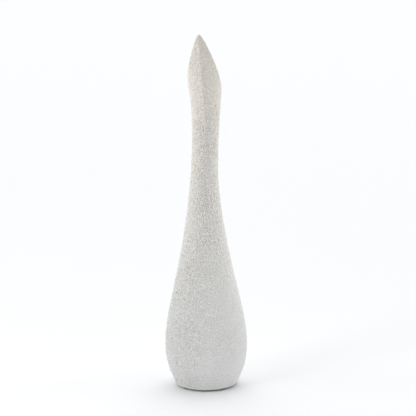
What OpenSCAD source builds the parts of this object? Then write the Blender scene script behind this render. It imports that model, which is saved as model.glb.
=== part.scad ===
// Slender ceramic bud vase with a keeled, leaf-shaped lip.
//
// The vase is one fired stoneware body with a sandy matt glaze outside, a glossy
// liner glaze inside and four felt pads under its foot ring.
// Origin: centre of the foot on the table. +Z is up, and the keel of the lip faces -Y.

/* [Body] */
// Height of the tip above the table
height = 300; // [270:5:330]
// Diameter of the belly at its widest
belly_d = 69.8; // [64:0.2:76]
// Height of the belly's widest ring
belly_z = 36; // [32:1:40]
// Diameter of the foot at the base
foot_d = 52; // [48:0.5:56]
// Diameter of the neck at its narrowest
neck_d = 22; // [21:0.5:26]
// Height of the neck's narrowest ring
neck_z = 205; // [198:1:208]

/* [Lip] */
// Width of the leaf-shaped lip at the tip's height
mouth_w = 30.6; // [28:0.2:34]
// How far the back of the mouth lies below the tip
mouth_drop = 64; // [50:1:70]
// Roundness of the tip, where the least value is nearly a sharp point
tip_round = 0.09; // [0.05:0.01:0.12]
// How far the keel stands proud of the round section
keel_h = 2.8; // [1:0.1:4]
// Angle over which the keel dies away to each side
keel_spread = 29; // [20:1:40]
// Angle that the keel turns through between the neck and the lip
keel_turn = 25; // [0:1:30]
// Sideways lean of the tip, towards -X
tip_lean = 1.3; // [0:0.1:3]
// Sideways bow of the neck below the lip, towards +X
neck_bow = 1.7; // [0:0.1:2]

/* [Walls] */
// Thickness of the stoneware and both glazes together
wall_t = 4.0; // [3.8:0.1:4.6]
// Thickness of the lip's edge
lip_t = 2.8; // [2.4:0.1:3.4]
// Height over which the lip's edge is rounded
lip_round = 2.2; // [1.5:0.1:3]
// Thickness of the outer sandy glaze
glaze_t = 0.6; // [0.4:0.1:0.8]
// Thickness of the inner liner glaze
liner_t = 0.4; // [0.3:0.1:0.5]
// Height of the inside floor above the table
floor_z = 9; // [8:0.5:12]

/* [Foot] */
// Width of the dry foot ring's flat face
foot_ring_w = 9; // [9:0.5:11]
// Height of the recess under the foot
recess_h = 2; // [1:0.5:3]
// Height of the glaze's lower edge above the table
glaze_edge_z = 2; // [1.8:0.1:3]
// Diameter of one felt pad
pad_d = 7; // [5:0.5:7.5]
// Thickness of one felt pad
pad_t = 1.2; // [0.8:0.1:1.5]

/* [Hidden] */

SEGMENTS = 40;       // columns around the vase
OUTSIDE_STEPS = 32;  // rings up the outside
LIP_STEPS = 6;       // rings over the lip
INSIDE_STEPS = 20;   // rings down the inside wall
BOWL_STEPS = 7;      // rings down into the inside floor
PAD_COUNT = 4;

// Colours
CLAY = "#d6cfc2";
MATT_WHITE = "#e6e4df";
GLOSS_WHITE = "#f1f0ec";
FELT = "#77736c";

belly_r = belly_d / 2;
foot_r = foot_d / 2;
neck_r = neck_d / 2;
mouth_r = mouth_w / 2;

// Outline of the outside as [height, radius] stations. Between the belly and the neck
// each flank station is [share of the height, share of the swell that is left], and
// between the neck and the tip each flare station is the same for the lip's flare.
FOOT_STATION = [belly_z / 2, foot_r + 0.74 * (belly_r - foot_r)];
FLANK = [[0.200, 0.900], [0.333, 0.536], [0.467, 0.222], [0.583, 0.046]];
FLARE = [[0.783, 0.22], [0.873, 0.74]];
OUTLINE = concat(
    [[pad_t, foot_r], FOOT_STATION, [belly_z, belly_r]],
    [for (s = FLANK) [height * s[0], neck_r + (belly_r - neck_r) * s[1]]],
    [[neck_z, neck_r]],
    [for (s = FLARE) [height * s[0], neck_r + (mouth_r - neck_r) * s[1]]],
    [[height, mouth_r]]);

// Sideways run of the centre line as [height, x] stations
STRAIGHT_Z = 80;     // the centre line is straight up to here
CENTRE_LINE = [
    [STRAIGHT_Z, 0],
    [height * 0.567, -0.18 * neck_bow],
    [height * 0.700, 0.60 * neck_bow],
    [height * 0.817, neck_bow],
    [height * 0.917, 0.15 * neck_bow],
    [height, -tip_lean]];

// The keel grows out of the round neck between these heights, and turns as it does
KEEL_START_Z = height * 0.533;
KEEL_FULL_Z = height * 0.900;
TURN_START_Z = height * 0.550;
TURN_END_Z = height * 0.867;

SLANT_Z = height * 0.6;   // rings are level up to here, and slant with the lip above
LIP_TAPER = 40;           // the wall thins to the lip over this height
LINER_TOP = 10;           // the liner glaze starts this far below the lip
BOWL_Z = 30;              // the inside wall turns in to the floor below here
BOWL_FULLNESS = 3;        // 2 is an ellipse, more is squarer
POLE_R = 2;               // radius of the flat at the middle of the floor and the underside
FOOT_EDGE_R = 0.8;        // bevel of the foot ring's outer edge
RECESS_SLOPE = 1.5;       // how far the recess's wall leans in
PAD_RING_R = foot_r - FOOT_EDGE_R - (foot_ring_w + glaze_t) / 2;

function clamp01(x) = min(max(x, 0), 1);
function ease(x) = let (c = clamp01(x)) c * c * (3 - 2 * c);
function reversed(list) = [for (i = [len(list) - 1:-1:0]) list[i]];

// Smooth curve through [position, value] stations
function span(stations, x, i = 0) =
    i >= len(stations) - 2 || x < stations[i + 1][0] ? i : span(stations, x, i + 1);

function slope(stations, i) =
    let (a = stations[max(i - 1, 0)], b = stations[min(i + 1, len(stations) - 1)])
    (b[1] - a[1]) / (b[0] - a[0]);

function through(stations, x) =
    let (
        i = span(stations, x),
        a = stations[i],
        b = stations[i + 1],
        run = b[0] - a[0],
        t = clamp01((x - a[0]) / run),
        leave = run * slope(stations, i),
        arrive = run * slope(stations, i + 1))
    a[1] * (1 + 2 * t) * pow(1 - t, 2) + leave * t * pow(1 - t, 2)
    + b[1] * t * t * (3 - 2 * t) + arrive * t * t * (t - 1);

function outside_r(z) = through(OUTLINE, z);
function centre_x(z) = z < STRAIGHT_Z ? 0 : through(CENTRE_LINE, z);
function keel_at(z) = keel_h * ease((z - KEEL_START_Z) / (KEEL_FULL_Z - KEEL_START_Z));
function turn_at(z) = keel_turn * (1 - ease((z - TURN_START_Z) / (TURN_END_Z - TURN_START_Z)));

// Height of the lip at angle t from the keel: a point at the keel, lowest at the back
function lip_z(t) =
    height - mouth_drop * (norm([sin(t / 2), tip_round]) - tip_round)
             / (norm([1, tip_round]) - tip_round);

// A ring's height at angle t: level low down, following the lip higher up
function ring_z(z, t) =
    z <= SLANT_Z ? z
    : SLANT_Z + (z - SLANT_Z) * (lip_z(t) - lip_round - SLANT_Z) / (height - SLANT_Z);

// A point of the surface that lies inset mm inside the vase's outside
function wall_point(t, z, inset) =
    let (
        r = outside_r(z) - inset,
        u = r * cos(t) + keel_at(z) * exp(-abs(t) / keel_spread),
        v = r * sin(t),
        a = turn_at(z))
    [centre_x(z) + u * sin(a) + v * cos(a), v * sin(a) - u * cos(a), z];

// A ring of points. Its row is [height, lift above that, inset].
function ring(row) =
    [for (j = [0:SEGMENTS - 1])
        let (t = 360 * j / SEGMENTS - 180)
        wall_point(t, ring_z(row[0], t) + row[1], row[2])];

// Rows of one wall surface, up the outside, over the lip and down the inside
function outside_rows(inset, from_z) =
    [for (i = [0:OUTSIDE_STEPS])
        [from_z + (height - from_z) * i / OUTSIDE_STEPS, 0, inset]];

function lip_rows(outer, inner, cover) =
    [for (i = [1:LIP_STEPS - 1])
        let (a = 180 * i / LIP_STEPS)
        [height, (lip_round - cover) * sin(a), outer + (inner - outer) * (1 - cos(a)) / 2]];

function inside_inset(z) = lip_t + (wall_t - lip_t) * ease((height - z) / LIP_TAPER);

LINER_TOP_Z = height - LINER_TOP;
LINER_LEVELS = [for (i = [0:INSIDE_STEPS])
    LINER_TOP_Z + (BOWL_Z - LINER_TOP_Z) * i / INSIDE_STEPS];

function inside_row(z, back) = [z, 0, inside_inset(z) - back];

// The bowl of the inside floor, as a squared-off quarter ellipse
function bowl_row(a, back) =
    let (
        in_r = outside_r(BOWL_Z) - wall_t + back,
        r = max(in_r * pow(cos(a), 2 / BOWL_FULLNESS), POLE_R),
        z = BOWL_Z - (BOWL_Z - floor_z + back) * pow(sin(a), 2 / BOWL_FULLNESS))
    level_row(z, r);

function level_row(z, r) = [z, 0, outside_r(z) - r];

function liner_rows(back) = concat(
    [for (z = LINER_LEVELS) inside_row(z, back)],
    [for (i = [1:BOWL_STEPS]) bowl_row(90 * i / BOWL_STEPS, back)]);

// The underside: recess, flat foot ring and its bevelled edge
UNDERSIDE_ROWS = [
    level_row(pad_t + recess_h, POLE_R),
    level_row(pad_t + recess_h, foot_r - FOOT_EDGE_R - foot_ring_w - RECESS_SLOPE),
    level_row(pad_t, foot_r - FOOT_EDGE_R - foot_ring_w),
    level_row(pad_t, foot_r - FOOT_EDGE_R - glaze_t)];

GLAZE_BACK_ROWS = concat(
    outside_rows(glaze_t, glaze_edge_z),
    lip_rows(glaze_t, lip_t - liner_t, glaze_t),
    [inside_row(height, liner_t), inside_row(LINER_TOP_Z, liner_t)]);

GLAZE_FRONT_ROWS = concat(
    [[glaze_edge_z + glaze_t, 0, 0]],
    [for (i = [1:OUTSIDE_STEPS]) outside_rows(0, glaze_edge_z)[i]],
    lip_rows(0, lip_t, 0),
    [inside_row(height, 0), inside_row(LINER_TOP_Z, 0)]);

// A closed skin over a stack of rings. The stack is joined end to end when looped, and
// closed with a flat cap at each end when not. Inside_out is for a stack that starts
// with the side that lies on the stoneware.
module skin(rows, looped, inside_out) {
    n = SEGMENTS;
    m = len(rows);
    bands = looped ? m : m - 1;
    quads = [for (i = [0:bands - 1], j = [0:n - 1])
        let (k = (i + 1) % m, l = (j + 1) % n)
        each [[i * n + j, i * n + l, k * n + l], [i * n + j, k * n + l, k * n + j]]];
    caps = looped ? []
        : [[for (j = [n - 1:-1:0]) j], [for (j = [0:n - 1]) (m - 1) * n + j]];
    sides = concat(quads, caps);
    polyhedron(
        points = [for (row = rows) each ring(row)],
        faces = inside_out ? sides : [for (f = sides) reversed(f)],
        convexity = 10);
}

// Fired clay, from the middle of the underside round to the middle of the inside floor
module stoneware_body() {
    color(CLAY)
    skin(concat(
        UNDERSIDE_ROWS,
        [for (i = [0:len(GLAZE_BACK_ROWS) - 2]) GLAZE_BACK_ROWS[i]],
        liner_rows(liner_t)), false, false);
}

// Sandy matt glaze, from just above the foot up and over the lip
module textured_glaze() {
    color(MATT_WHITE)
    skin(concat(GLAZE_BACK_ROWS, reversed(GLAZE_FRONT_ROWS)), true, true);
}

// Glossy glaze that makes the inside watertight
module liner_glaze() {
    color(GLOSS_WHITE)
    skin(concat(reversed(liner_rows(0)), liner_rows(liner_t)), false, true);
}

// One self-adhesive felt pad under the foot ring
module felt_pad(index) {
    color(FELT)
    rotate([0, 0, 360 * (index - 0.5) / PAD_COUNT])
    translate([PAD_RING_R, 0, 0])
    cylinder(h = pad_t, d = pad_d, $fn = 48);
}

stoneware_body();
textured_glaze();
liner_glaze();
felt_pad(1);  // felt_pad_1
felt_pad(2);  // felt_pad_2
felt_pad(3);  // felt_pad_3
felt_pad(4);  // felt_pad_4
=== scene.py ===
"""The looks of a slender ceramic bud vase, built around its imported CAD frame. Metres, +Z up."""

import math

import bpy
import numpy as np
from mathutils import Matrix, Vector, noise


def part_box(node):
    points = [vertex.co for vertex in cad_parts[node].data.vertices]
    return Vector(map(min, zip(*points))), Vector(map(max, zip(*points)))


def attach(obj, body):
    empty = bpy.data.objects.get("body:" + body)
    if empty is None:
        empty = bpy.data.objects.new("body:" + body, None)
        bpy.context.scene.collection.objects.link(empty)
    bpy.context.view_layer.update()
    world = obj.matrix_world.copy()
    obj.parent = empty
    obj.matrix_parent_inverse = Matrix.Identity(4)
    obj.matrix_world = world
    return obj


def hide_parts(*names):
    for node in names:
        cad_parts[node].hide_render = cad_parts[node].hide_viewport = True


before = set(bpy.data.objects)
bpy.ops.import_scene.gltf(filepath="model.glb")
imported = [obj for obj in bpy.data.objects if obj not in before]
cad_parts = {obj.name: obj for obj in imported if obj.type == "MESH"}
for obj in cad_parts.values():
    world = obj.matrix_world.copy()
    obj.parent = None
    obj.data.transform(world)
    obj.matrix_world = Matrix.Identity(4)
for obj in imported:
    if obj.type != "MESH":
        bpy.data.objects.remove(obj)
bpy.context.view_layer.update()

# Sizes that the CAD boxes give
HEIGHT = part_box("textured_glaze")[1].z
PAD_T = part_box("stoneware_body")[0].z

# Sizes of the design, as in the part's source
BELLY_R = 0.0349
BELLY_Z = 0.036
FOOT_R = 0.026
NECK_R = 0.011
NECK_Z = 0.205
MOUTH_R = 0.0153
MOUTH_DROP = 0.064
TIP_ROUND = 0.09
KEEL_H = 0.0028
KEEL_SPREAD = math.radians(29)
KEEL_EDGE = math.radians(2.5)
KEEL_START = 0.533     # share of the height where the keel starts
KEEL_FULL = 0.900      # and where it reaches its full height
KEEL_TURN = math.radians(25)
TURN_START = 0.550     # share of the height where the keel starts to turn back
TURN_END = 0.867       # and where it faces straight forward
TIP_LEAN = 0.0013
NECK_BOW = 0.0017
WALL_T = 0.0040
LIP_T = 0.0028
LIP_ROUND = 0.0022
GLAZE_T = 0.0006
LINER_T = 0.0004
FLOOR_Z = 0.009
FOOT_RING_W = 0.009
FOOT_EDGE_R = 0.0008
RECESS_H = 0.002
RECESS_SLOPE = 0.0015
GLAZE_EDGE_Z = 0.0020
SLANT_Z = 0.6 * HEIGHT
LIP_TAPER = 0.040
LINER_TOP = 0.010
BOWL_Z = 0.030
BOWL_FULLNESS = 3

OUTLINE = np.array([
    [PAD_T, FOOT_R],
    [BELLY_Z / 2, FOOT_R + 0.74 * (BELLY_R - FOOT_R)],
    [BELLY_Z, BELLY_R],
    [0.200 * HEIGHT, NECK_R + 0.900 * (BELLY_R - NECK_R)],
    [0.333 * HEIGHT, NECK_R + 0.536 * (BELLY_R - NECK_R)],
    [0.467 * HEIGHT, NECK_R + 0.222 * (BELLY_R - NECK_R)],
    [0.583 * HEIGHT, NECK_R + 0.046 * (BELLY_R - NECK_R)],
    [NECK_Z, NECK_R],
    [0.783 * HEIGHT, NECK_R + 0.22 * (MOUTH_R - NECK_R)],
    [0.873 * HEIGHT, NECK_R + 0.74 * (MOUTH_R - NECK_R)],
    [HEIGHT, MOUTH_R],
])
STRAIGHT_Z = 0.080
CENTRE_LINE = np.array([
    [STRAIGHT_Z, 0],
    [0.567 * HEIGHT, -0.18 * NECK_BOW],
    [0.700 * HEIGHT, 0.60 * NECK_BOW],
    [0.817 * HEIGHT, NECK_BOW],
    [0.917 * HEIGHT, 0.15 * NECK_BOW],
    [HEIGHT, -TIP_LEAN],
])

COLUMNS = 480          # points around the vase
OUTSIDE_STEPS = 700    # rings up the outside
INSIDE_STEPS = 20      # rings of sandy glaze inside the mouth
LINER_STEPS = 180      # rings down the liner
BOWL_STEPS = 24        # rings of the inside floor
RECESS_STEPS = 24      # rings of the underside's recess
RING_STEPS = 12        # rings of the foot ring
LIP_STEPS = 14         # steps over the lip
HIDDEN_STEPS = 60      # rings of an outer surface that nothing shows
HIDDEN_INSIDE = 31     # rings of an inner surface that nothing shows
HIDDEN_BOWL = 8        # rings of an inside floor that nothing shows
POLE_R = 0.001         # radius of the ring next to the underside's pole


def ease(x):
    x = np.clip(x, 0, 1)
    return x * x * (3 - 2 * x)


def through(stations, x):
    """Smooth curve through [position, value] stations."""
    place, value = stations[:, 0], stations[:, 1]
    slope = np.empty(len(stations))
    slope[1:-1] = (value[2:] - value[:-2]) / (place[2:] - place[:-2])
    slope[0] = (value[1] - value[0]) / (place[1] - place[0])
    slope[-1] = (value[-1] - value[-2]) / (place[-1] - place[-2])
    i = np.clip(np.searchsorted(place, x, side="right") - 1, 0, len(stations) - 2)
    run = place[i + 1] - place[i]
    t = np.clip((x - place[i]) / run, 0, 1)
    return (
        value[i] * (1 + 2 * t) * (1 - t) ** 2
        + run * slope[i] * t * (1 - t) ** 2
        + value[i + 1] * t * t * (3 - 2 * t)
        + run * slope[i + 1] * t * t * (t - 1)
    )


def lip_z(t):
    """Height of the lip at angle t from the keel."""
    drop = np.hypot(np.sin(t / 2), TIP_ROUND) - TIP_ROUND
    return HEIGHT - MOUTH_DROP * drop / (math.hypot(1, TIP_ROUND) - TIP_ROUND)


def ring_z(z, t):
    """A ring's height at angle t: level low down, following the lip higher up."""
    share = (lip_z(t) - LIP_ROUND - SLANT_Z) / (HEIGHT - SLANT_Z)
    return np.where(z <= SLANT_Z, z, SLANT_Z + (z - SLANT_Z) * share)


def wall_points(rows):
    """The points of the rings given by rows of (height, lift above that, inset)."""
    rows = np.array(rows, float)
    t = np.linspace(-math.pi, math.pi, COLUMNS, endpoint=False)[None, :]
    z = ring_z(rows[:, :1], t) + rows[:, 1:2]
    r = through(OUTLINE, z) - rows[:, 2:3]
    keel = KEEL_H * ease((z / HEIGHT - KEEL_START) / (KEEL_FULL - KEEL_START))
    turn = KEEL_TURN * (1 - ease((z / HEIGHT - TURN_START) / (TURN_END - TURN_START)))
    away = np.hypot(t, KEEL_EDGE) - KEEL_EDGE
    u = r * np.cos(t) + keel * np.exp(-away / KEEL_SPREAD)
    v = r * np.sin(t)
    x = np.where(z < STRAIGHT_Z, 0, through(CENTRE_LINE, z))
    x = x + u * np.sin(turn) + v * np.cos(turn)
    y = v * np.sin(turn) - u * np.cos(turn)
    return np.stack([x, y, z], -1)


def level_row(z, r):
    """A row of wall_points at height z, for a ring of radius r."""
    return (z, 0, float(through(OUTLINE, np.array(z))) - r)


def inside_inset(z):
    """How far the inside lies from the outside: the wall, thinner towards the lip."""
    return LIP_T + (WALL_T - LIP_T) * float(ease((HEIGHT - z) / LIP_TAPER))


def lip_rows(outer, inner, cover):
    """Rows over the lip, from the outer inset to the inner one."""
    rows = []
    for a in np.linspace(0, math.pi, LIP_STEPS + 1)[1:-1]:
        inset = outer + (inner - outer) * (1 - math.cos(a)) / 2
        rows.append((HEIGHT, (LIP_ROUND - cover) * math.sin(a), inset))
    return rows


def bowl_rows(back, steps):
    """Rows of the inside floor, a squared-off quarter ellipse, set back by back."""
    rim_r = float(through(OUTLINE, np.array(BOWL_Z))) - WALL_T + back
    depth = BOWL_Z - FLOOR_Z + back
    power = 2 / BOWL_FULLNESS
    rows = []
    for a in np.linspace(0, math.pi / 2, steps + 1)[1:-1]:
        drop = depth * math.sin(a) ** power
        rows.append(level_row(BOWL_Z - drop, rim_r * math.cos(a) ** power))
    return rows


def mesh_from_rings(name, rings, looped, pole_start=None, pole_end=None):
    """A closed mesh over a stack of rings, joined end to end, or closed at each pole."""
    count, columns = rings.shape[:2]
    index = np.arange(count * columns).reshape(count, columns)
    below = index if looped else index[:-1]
    above = np.roll(index, -1, 0) if looped else index[1:]
    quads = np.stack([below, np.roll(below, -1, 1), np.roll(above, -1, 1), above], -1).reshape(-1, 4)
    points = rings.reshape(-1, 3).tolist()
    faces = quads.tolist()
    for pole, ring, flip in ((pole_start, index[0], True), (pole_end, index[-1], False)):
        if pole is None:
            continue
        points.append(pole)
        after = np.roll(ring, -1)
        pairs = zip(after, ring) if flip else zip(ring, after)
        faces += [[int(a), int(b), len(points) - 1] for a, b in pairs]
    mesh = bpy.data.meshes.new(name)
    mesh.from_pydata(points, [], faces)
    mesh.validate()
    mesh.shade_smooth()
    piece = bpy.data.objects.new(name, mesh)
    bpy.context.scene.collection.objects.link(piece)
    return piece


GRAIN = 0.0016         # spacing of the sandy glaze's grains
GRAIN_H = 0.00085      # height of its relief
GRAIN_MEAN = 0.38      # the share of it that lies below the plain surface
BEND = 0.5             # how far the ground is bent before the grains are laid on it
BEND_SCALE = 0.5       # bends to a grain
WRINKLE_SHARE = 0.4    # share of the relief that is the wrinkled ground
WRINKLE_SCALE = 0.8    # wrinkles to a grain
WRINKLE_DEPTH = 1.6    # how deep the wrinkles cut
GRAIN_SHARE = 0.8      # share of the relief that is grains
GRAIN_SIZE = 0.65      # middle size of a grain, of a spacing
GRAIN_VARIES = 0.35    # and how far it varies either way
GRAIN_SEED = 1         # fixes how the ground is bent, which would differ on each run
GRAIN_SLOPE = 1.5      # how steep a grain's side is
SIZE_SCALE = 5.3       # spreads the grains' places over the cells that size them
GRAIN_LEFT = 1.9       # how strong the relief, and the painted shade in its grooves, is on the left flank, which the light rakes
GRAIN_RIGHT = 0.80     # and on the right flank
GRAIN_NECK = 0.97      # and on the neck
GRAIN_LIP = 0.68       # and on the lip, which was wiped smooth
EDGE_ROWS = 6          # rings over which the relief dies away at the glaze's lower edge
INSIDE_ROWS = 20       # and at its edge inside the mouth
RIM_FADE = 0.0016      # how far below the rim the darkening reaches: clay through thin glaze, and painted shade
RIGHT_MIDDLE = 0.8     # how far the strength has gone from left to right at the middle
RIGHT_SLOPE = 1.1      # and how fast it goes
RIM_MIDDLE = 0.35      # how dark the rim is at the middle: thin glaze and painted shade
RIM_SLOPE = 1.2        # and how fast that rises to the right, the side turned from the left light
FOOT_SHARE = 0.8       # how much of the flank's strength is left at the foot
FOOT_GAIN = 0.2        # and how much comes back above it
FOOT_TOP = 0.06        # height from which the flank has all of it
NECK_START = 0.075     # height from which the flank's strength gives way to the neck's
NECK_BLEND = 0.08      # and over what height
LIP_START = 0.215      # height from which the neck's gives way to the lip's
LIP_BLEND = 0.04       # and over what height


def grain_at(point):
    """The sandy glaze's relief at a point: grains of uneven size on a wrinkled ground."""
    q = Vector(point) / GRAIN
    bent = q + BEND * noise.noise_vector(BEND_SCALE * q)
    wrinkle = 1 - WRINKLE_DEPTH * abs(noise.noise(WRINKLE_SCALE * bent))
    distances, centres = noise.voronoi(bent)
    size = GRAIN_SIZE + GRAIN_VARIES * noise.cell(SIZE_SCALE * centres[0])
    grain = max(0, size - GRAIN_SLOPE * distances[0])
    return WRINKLE_SHARE * wrinkle + GRAIN_SHARE * grain


def grain_strength(points):
    """How strong the relief, and the painted shade that follows it, is at each point."""
    x, y, z = points.T
    right = ease(RIGHT_MIDDLE + RIGHT_SLOPE * x / np.hypot(x, y))
    flank = GRAIN_LEFT + (GRAIN_RIGHT - GRAIN_LEFT) * right
    flank = flank * (FOOT_SHARE + FOOT_GAIN * ease(z / FOOT_TOP))
    strength = flank + (GRAIN_NECK - flank) * ease((z - NECK_START) / NECK_BLEND)
    return strength + (GRAIN_LIP - strength) * ease((z - LIP_START) / LIP_BLEND)


def point_attribute(mesh, name, values):
    """Stores a value for each point, which a material reads by name."""
    mesh.attributes.new(name, "FLOAT", "POINT").data.foreach_set("value", values.astype(np.float32))


def roughen(piece, share):
    """Raises the sandy relief, share of it at each point, and keeps it for the material."""
    mesh = piece.data
    count = len(mesh.vertices)
    place = np.empty(count * 3, np.float32)
    normal = np.empty(count * 3, np.float32)
    mesh.vertices.foreach_get("co", place)
    mesh.vertex_normals.foreach_get("vector", normal)
    place = place.reshape(-1, 3)
    normal = normal.reshape(-1, 3)
    noise.seed_set(GRAIN_SEED)
    grain = np.array([grain_at(point) for point in place], np.float32)
    strength = grain_strength(place) * share
    grain = (grain - GRAIN_MEAN) * strength
    mesh.vertices.foreach_set("co", (place + normal * grain[:, None] * GRAIN_H).ravel())
    point_attribute(mesh, "grain", grain)
    point_attribute(mesh, "strength", strength)
    mesh.update()


def rim_clay_and_shade_share(rings):
    """How dark the rim is: clay through thin glaze, and painted shade that makes it most on the right,
    away from the left light.
    """
    t = np.linspace(-math.pi, math.pi, COLUMNS, endpoint=False)[None, :]
    below_rim = lip_z(t) - rings[:, :, 2]
    to_right = ease(RIM_MIDDLE + RIM_SLOPE * np.sin(t))
    return np.exp(-np.maximum(below_rim, 0) / RIM_FADE) * to_right


def build_outer_glaze():
    """The sandy glaze: its rough front, from a rounded lower edge over the lip, and its back."""
    heights = np.linspace(GLAZE_EDGE_Z + GLAZE_T, HEIGHT, OUTSIDE_STEPS)
    inner_levels = np.linspace(HEIGHT, HEIGHT - LINER_TOP, INSIDE_STEPS)
    front = [(GLAZE_EDGE_Z, 0, 0.6 * GLAZE_T), (GLAZE_EDGE_Z + 0.3 * GLAZE_T, 0, 0.15 * GLAZE_T)]
    front += [(z, 0, 0) for z in heights]
    front += lip_rows(0, LIP_T, 0)
    front += [(z, 0, inside_inset(z)) for z in inner_levels]
    back = [(z, 0, GLAZE_T) for z in np.linspace(GLAZE_EDGE_Z, HEIGHT, HIDDEN_STEPS)]
    back += lip_rows(GLAZE_T, LIP_T - LINER_T, GLAZE_T)
    back += [(z, 0, inside_inset(z) - LINER_T) for z in inner_levels[::4]]
    rings = wall_points(front + back[::-1])
    piece = mesh_from_rings("sandy_glaze", rings, True)
    row = np.arange(len(front))
    faded = ease(row / EDGE_ROWS) * ease(row[::-1] / INSIDE_ROWS)
    shown = np.concatenate([faded, np.zeros(len(back))])
    roughen(piece, np.repeat(shown, COLUMNS))
    # Stores the rim's darkening: thin glaze and painted shade
    point_attribute(piece.data, "rim_clay_shade", rim_clay_and_shade_share(rings).ravel())
    return piece


def build_liner():
    """The liner glaze: its hidden back from the floor up, then its shown face down again."""
    levels = np.linspace(HEIGHT - LINER_TOP, BOWL_Z, LINER_STEPS)
    shown = [(z, 0, inside_inset(z)) for z in levels] + bowl_rows(0, BOWL_STEPS)
    hidden = [(z, 0, inside_inset(z) - LINER_T) for z in levels[::6]] + bowl_rows(LINER_T, HIDDEN_BOWL)
    rings = wall_points(hidden[::-1] + shown)
    return mesh_from_rings("liner_glaze_coat", rings, False, (0, 0, FLOOR_Z - LINER_T), (0, 0, FLOOR_Z))


def build_stoneware():
    """The clay body: its underside, its outside under the glaze, the lip and the inside."""
    top = PAD_T + RECESS_H
    flat_in = FOOT_R - FOOT_EDGE_R - FOOT_RING_W
    flat_out = FOOT_R - FOOT_EDGE_R - GLAZE_T
    rows = [level_row(top, r) for r in np.linspace(POLE_R, flat_in - RECESS_SLOPE, RECESS_STEPS)]
    rows += [level_row(PAD_T + 0.1 * RECESS_H, flat_in - 0.15 * RECESS_SLOPE)]
    rows += [level_row(PAD_T, r) for r in np.linspace(flat_in, flat_out, RING_STEPS)]
    rows += [(z, 0, GLAZE_T) for z in np.linspace(GLAZE_EDGE_Z, HEIGHT, HIDDEN_STEPS)]
    rows += lip_rows(GLAZE_T, LIP_T - LINER_T, GLAZE_T)
    levels = np.linspace(HEIGHT - LINER_TOP, BOWL_Z, HIDDEN_INSIDE)
    rows += [(HEIGHT, 0, inside_inset(HEIGHT) - LINER_T)]
    rows += [(z, 0, inside_inset(z) - LINER_T) for z in levels] + bowl_rows(LINER_T, HIDDEN_BOWL)
    floor_pole = (0, 0, FLOOR_Z - LINER_T)
    return mesh_from_rings("stoneware", wall_points(rows), False, (0, 0, top), floor_pole)


PAD_EDGE = 0.25        # radius of a pad's lower edge, as a share of its thickness
PAD_COLUMNS = 96       # points around a pad


def build_felt_pad(node):
    low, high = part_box(node)
    centre = (low + high) / 2
    radius = (high.x - low.x) / 2
    edge = PAD_EDGE * (high.z - low.z)
    profile = [(r, low.z) for r in np.linspace(0.1, 0.92, 8) * radius]
    profile += [(radius - edge + edge * math.sin(a), low.z + edge - edge * math.cos(a))
                for a in np.linspace(0.2, math.pi / 2, 5)]
    profile += [(radius, high.z - edge)]
    profile += [(r, high.z) for r in np.linspace(0.95, 0.1, 6) * radius]
    t = np.linspace(-math.pi, math.pi, PAD_COLUMNS, endpoint=False)
    rings = np.array([[(centre.x + r * math.sin(a), centre.y - r * math.cos(a), z) for a in t]
                      for r, z in profile])
    poles = (centre.x, centre.y, low.z), (centre.x, centre.y, high.z)
    return mesh_from_rings("felt_" + node[-1], rings, False, *poles)


class Nodes:
    """A material's node tree, with a short way to add and link nodes."""

    def __init__(self, name, tree=None):
        if tree is None:
            self.material = bpy.data.materials.new(name)
            self.material.use_nodes = True
            tree = self.material.node_tree
            self.shader = tree.nodes["Principled BSDF"]
        self.tree = tree

    def add(self, kind, inputs=None, **settings):
        node = self.tree.nodes.new(kind)
        for key, value in settings.items():
            setattr(node, key, value)
        for key, value in (inputs or {}).items():
            self.put(node.inputs[key], value)
        return node

    def put(self, socket, value):
        if isinstance(value, bpy.types.NodeSocket):
            self.tree.links.new(value, socket)
        else:
            socket.default_value = value

    def set(self, **values):
        for key, value in values.items():
            self.put(self.shader.inputs[key.replace("_", " ")], value)

    def noise(self, scale, detail=2.0, roughness=0.5, vector=None):
        inputs = {"Scale": scale, "Detail": detail, "Roughness": roughness}
        if vector is None:
            vector = self.coords()
        return self.add("ShaderNodeTexNoise", {**inputs, "Vector": vector}).outputs["Fac"]

    def coords(self):
        return self.add("ShaderNodeTexCoord").outputs["Object"]

    def remap(self, value, low, high, to_low, to_high):
        inputs = {"Value": value, "From Min": low, "From Max": high, "To Min": to_low, "To Max": to_high}
        return self.add("ShaderNodeMapRange", inputs).outputs["Result"]

    def math(self, operation, a, b):
        return self.add("ShaderNodeMath", {0: a, 1: b}, operation=operation).outputs["Value"]

    def mix(self, share, a, b, blend="MIX"):
        node = self.add("ShaderNodeMix", data_type="RGBA", blend_type=blend)
        self.put(node.inputs["Factor"], share)
        self.put(node.inputs[6], a)
        self.put(node.inputs[7], b)
        return node.outputs[2]

    def bump(self, height, distance, strength=1.0, normal=None):
        inputs = {"Height": height, "Distance": distance, "Strength": strength}
        if normal is not None:
            inputs["Normal"] = normal
        return self.add("ShaderNodeBump", inputs).outputs["Normal"]


LIT_CREST_LOW = (0.92, 0.92, 0.905, 1)        # painted light on the sandy glaze's raised grains, on the belly
LIT_CREST_HIGH = (0.885, 0.85, 0.785, 1)      # and on the lip
SHADED_GROOVE_LOW = (0.658, 0.658, 0.648, 1)     # painted shade in its grooves, on the belly
SHADED_GROOVE_HIGH = (0.588, 0.558, 0.508, 1)    # and on the lip
RIM_CLAY_AND_SHADE = (0.42, 0.40, 0.36, 1)        # painted shade on the rim, with the clay seen through thin glaze there
TINT_START = 0.06                         # height from which the tones turn to the lip's
TINT_END = 0.27                           # and where they are the lip's
SAND_SCALE = 760.0                        # sand cells per metre
SPRAY_SCALE = 1100                        # fine noise of the sprayed coat, per metre


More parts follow.
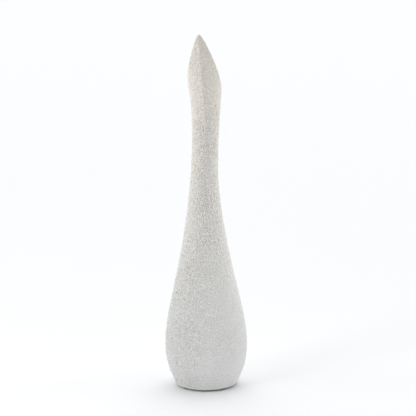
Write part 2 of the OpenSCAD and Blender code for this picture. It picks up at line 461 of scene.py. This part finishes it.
def sandy_glaze_material():
    n = Nodes("sandy_matt_glaze")
    place = n.coords()
    z = n.add("ShaderNodeSeparateXYZ", {"Vector": place}).outputs["Z"]
    height = n.remap(z, TINT_START, TINT_END, 0, 1)
    lit_crest = n.mix(height, LIT_CREST_LOW, LIT_CREST_HIGH)
    shaded_groove = n.mix(height, SHADED_GROOVE_LOW, SHADED_GROOVE_HIGH)
    grain = n.add("ShaderNodeAttribute", attribute_name="grain").outputs["Fac"]
    strength = n.add("ShaderNodeAttribute", attribute_name="strength").outputs["Fac"]
    cells = n.add("ShaderNodeTexVoronoi", {"Vector": place, "Scale": SAND_SCALE}).outputs["Distance"]
    sand = n.remap(cells, 0.1, 0.6, 1, 0)
    fine = n.noise(SPRAY_SCALE, 3, 0.6)
    specks = n.math("ADD", n.remap(sand, 0, 1, -0.22, 0.33), n.remap(fine, 0.35, 0.65, -0.2, 0.2))
    speckled = n.math("MULTIPLY", n.remap(strength, 0, 2, -0.5, 3.0), specks)
    # The colour follows the relief's depth: painted shade in the grooves and painted light on the
    # crests, over the glaze's own random speckle
    depth = n.math("ADD", grain, speckled)
    glaze = n.mix(n.remap(depth, -0.6, 0.7, 0, 1), shaded_groove, lit_crest)
    # Painted shade along the rim, most on the right, with clay through thin glaze
    rim_clay_shade = n.add("ShaderNodeAttribute", attribute_name="rim_clay_shade").outputs["Fac"]
    n.set(Base_Color=n.mix(n.math("MULTIPLY", rim_clay_shade, 0.5), glaze, RIM_CLAY_AND_SHADE))
    n.set(Roughness=n.remap(fine, 0.3, 0.7, 0.72, 0.9), Specular_IOR_Level=0.3)
    rough = n.bump(fine, 0.0002, 0.8)
    n.set(Normal=n.bump(sand, 0.0006, n.remap(strength, 0, 1, 0, 0.9), rough))
    return n.material


LINER_THIN = (0.70, 0.685, 0.65, 1)       # the liner glaze where it ran thin
LINER_POOLED = (0.79, 0.78, 0.755, 1)     # and where it pooled
LINER_FLOOR = (0.66, 0.68, 0.67, 1)       # its tint on the inside floor
PINHOLE = (0.45, 0.41, 0.35, 1)


def liner_material():
    n = Nodes("gloss_liner_glaze")
    place = n.coords()
    z = n.add("ShaderNodeSeparateXYZ", {"Vector": place}).outputs["Z"]
    runs = n.add("ShaderNodeVectorMath", {0: place, 1: (1.0, 1.0, 0.12)}, operation="MULTIPLY")
    pool = n.noise(70, 3, 0.55, runs.outputs["Vector"])
    glaze = n.mix(pool, LINER_THIN, LINER_POOLED)
    pinhole = n.remap(n.noise(900, 1), 0.70, 0.76, 0, 0.6)
    tinted = n.mix(n.remap(z, FLOOR_Z, BOWL_Z, 0.5, 0), glaze, LINER_FLOOR)
    n.set(Base_Color=n.mix(pinhole, tinted, PINHOLE))
    n.set(Roughness=n.remap(pool, 0.3, 0.7, 0.10, 0.22), Coat_Weight=0.3, Coat_Roughness=0.08)
    n.set(Normal=n.bump(pool, 0.0004, 0.4, n.bump(n.noise(260, 2), 0.0001, 0.4)))
    return n.material


CLAY_DARK = (0.56, 0.53, 0.48, 1)
CLAY_LIGHT = (0.66, 0.63, 0.58, 1)
TURNING_LINE = (0.38, 0.34, 0.29, 1)      # the grooves that a trimming tool left
IRON_SPECK = (0.30, 0.26, 0.21, 1)


def stoneware_material():
    n = Nodes("bare_stoneware")
    place = n.coords()
    speck = n.remap(n.noise(1400, 2, 0.7), 0.62, 0.70, 0, 1)
    clay = n.mix(n.noise(120, 4), CLAY_DARK, CLAY_LIGHT)
    waves = {"Vector": place, "Scale": 260.0, "Distortion": 1.5, "Detail": 2.0}
    rings = n.add("ShaderNodeTexWave", waves, wave_type="RINGS", rings_direction="Z").outputs["Fac"]
    trimmed = n.mix(n.remap(rings, 0, 1, 0.18, 0), clay, TURNING_LINE)
    n.set(Base_Color=n.mix(speck, trimmed, IRON_SPECK))
    n.set(Roughness=n.remap(n.noise(500), 0.3, 0.7, 0.85, 0.96))
    n.set(Normal=n.bump(rings, 0.0002, 0.5, n.bump(n.noise(1100, 4), 0.0002, 0.6)))
    return n.material


WOOL_DARK = (0.11, 0.105, 0.095, 1)
WOOL_LIGHT = (0.25, 0.235, 0.21, 1)
LINT = (0.36, 0.34, 0.31, 1)


def felt_material():
    n = Nodes("felt")
    place = n.coords()
    lay = n.add("ShaderNodeVectorMath", {0: place, 1: (1.0, 0.35, 1.0)}, operation="MULTIPLY")
    fibre = n.noise(2600, 4, 0.7, lay.outputs["Vector"])
    lint = n.remap(n.noise(900, 2), 0.60, 0.72, 0, 0.7)
    wool = n.mix(fibre, WOOL_DARK, WOOL_LIGHT)
    n.set(Base_Color=n.mix(lint, wool, LINT))
    n.set(Roughness=n.remap(fibre, 0.3, 0.7, 0.9, 1.0), Sheen_Weight=0.4)
    n.set(Normal=n.bump(fibre, 0.0004, 1.0))
    return n.material


def add_piece(piece, material, slot, *nodes):
    piece.data.materials.append(material)
    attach(piece, "root")
    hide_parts(*nodes)


def build_vase():
    add_piece(build_outer_glaze(), sandy_glaze_material(), "sandy_matt_glaze", "textured_glaze")
    add_piece(build_liner(), liner_material(), "gloss_liner_glaze", "liner_glaze")
    add_piece(build_stoneware(), stoneware_material(), "bare_stoneware", "stoneware_body")
    felt = felt_material()
    for i in range(1, 5):
        node = f"felt_pad_{i}"
        pad = build_felt_pad(node)
        add_piece(pad, felt, "felt", node)


def add_plane(name, corners, colour):
    """A flat stage card: the floor or a flag."""
    mesh = bpy.data.meshes.new(name)
    mesh.from_pydata(corners, [], [(0, 1, 2, 3)])
    card = bpy.data.objects.new(name, mesh)
    bpy.context.scene.collection.objects.link(card)
    n = Nodes(name)
    n.set(Base_Color=colour, Roughness=0.9, Specular_IOR_Level=0.1)
    mesh.materials.append(n.material)
    return card


FLOOR_HALF = 60        # half the floor's width
FLOOR_COLOUR = (0.91, 0.925, 0.94, 1)
FLAG_Y = -1.4          # place of the dark card that keeps the front in soft shade
FLAG_HALF = 1.0        # half the card's width
FLAG_LOW = 0.08        # height of its lower edge
FLAG_HIGH = 1.35       # and of its upper edge
FLAG_COLOUR = (0.06, 0.06, 0.07, 1)


def build_stage():
    half = FLOOR_HALF
    corners = [(-half, -half, 0), (half, -half, 0), (half, half, 0), (-half, half, 0)]
    add_plane("floor", corners, FLOOR_COLOUR)
    half = FLAG_HALF
    corners = [(-half, FLAG_Y, FLAG_LOW), (half, FLAG_Y, FLAG_LOW),
               (half, FLAG_Y, FLAG_HIGH), (-half, FLAG_Y, FLAG_HIGH)]
    flag = add_plane("flag", corners, FLAG_COLOUR)
    flag.visible_camera = False


SKY_LOW = 1.20         # strength of the sky near the horizon
SKY_HIGH = 0.76        # and overhead
HORIZON_UP = 0.15      # how far up the horizon's strength reaches, as a direction's z
OVERHEAD_UP = 0.6      # and from where on the sky is the overhead one
SUN_POWER = 0.83
SUN_ANGLE = math.radians(50)
SUN_TILT = math.radians(-25)
WHITE = (1.0, 0.98, 0.95)
WARM_WHITE = (1.0, 0.93, 0.84)
MIDDLE = (0, 0, 0.15)
NECK = (0, 0, 0.195)
UPPER_NECK = (0, 0, 0.235)


def add_light(name, place, target, size, power, colour, spread):
    """A square area light aimed at a target, with its spread in degrees."""
    light = bpy.data.lights.new(name, "AREA")
    light.spread = math.radians(spread)
    light.size = size
    light.energy = power
    light.color = colour
    lamp = bpy.data.objects.new(name, light)
    lamp.location = place
    lamp.rotation_euler = (Vector(target) - Vector(place)).to_track_quat("-Z", "Y").to_euler()
    bpy.context.scene.collection.objects.link(lamp)


def add_sun(name):
    """A wide light from above and behind, which lays the soft shadow before the foot."""
    sun = bpy.data.lights.new(name, "SUN")
    sun.energy = SUN_POWER
    sun.angle = SUN_ANGLE
    lamp = bpy.data.objects.new(name, sun)
    lamp.rotation_euler = (SUN_TILT, 0, 0)
    bpy.context.scene.collection.objects.link(lamp)


def build_sky():
    """A white sky, brightest at the horizon."""
    world = bpy.data.worlds.new("studio")
    bpy.context.scene.world = world
    world.use_nodes = True
    sky = Nodes("sky", world.node_tree)
    direction = sky.add("ShaderNodeTexCoord").outputs["Generated"]
    up = sky.add("ShaderNodeSeparateXYZ", {"Vector": direction}).outputs["Z"]
    background = world.node_tree.nodes["Background"]
    strength = sky.remap(up, HORIZON_UP, OVERHEAD_UP, SKY_LOW, SKY_HIGH)
    sky.put(background.inputs["Strength"], strength)
    background.inputs["Color"].default_value = (1.0, 1.0, 1.0, 1)


def build_lights():
    bpy.context.scene.view_settings.view_transform = "Standard"
    build_sky()
    add_light("left_spot", place=(-0.45, -0.05, 0.38), target=UPPER_NECK,
              size=0.2, power=0.043, colour=WARM_WHITE, spread=45)
    add_light("right_spot", place=(0.45, 0.08, 0.38), target=NECK,
              size=0.2, power=0.043, colour=WHITE, spread=32)
    add_light("left_softbox", place=(-0.75, -0.75, 0.55), target=MIDDLE,
              size=0.5, power=2.6, colour=WHITE, spread=180)
    add_sun("overhead")


SENSOR_WIDTH = 36
CAMERA_AZIMUTH = math.radians(7)
CAMERA_DISTANCE = 1.150
CAMERA_HEIGHT = 0.343
CAMERA_AIM = Vector((0.0027, 0, 0.1536))
CAMERA_ROLL = math.radians(-0.6)
CAMERA_LENS = 119.25


def build_camera():
    data = bpy.data.cameras.new("camera")
    data.sensor_width = SENSOR_WIDTH
    data.lens = CAMERA_LENS
    camera = bpy.data.objects.new("camera", data)
    place = Vector((
        math.sin(CAMERA_AZIMUTH) * CAMERA_DISTANCE,
        -math.cos(CAMERA_AZIMUTH) * CAMERA_DISTANCE,
        CAMERA_HEIGHT,
    ))
    look = (CAMERA_AIM - place).to_track_quat("-Z", "Y").to_matrix().to_4x4()
    camera.matrix_world = Matrix.Translation(place) @ look @ Matrix.Rotation(CAMERA_ROLL, 4, "Z")
    bpy.context.scene.collection.objects.link(camera)
    bpy.context.scene.camera = camera


build_camera()
build_vase()
build_stage()
build_lights()
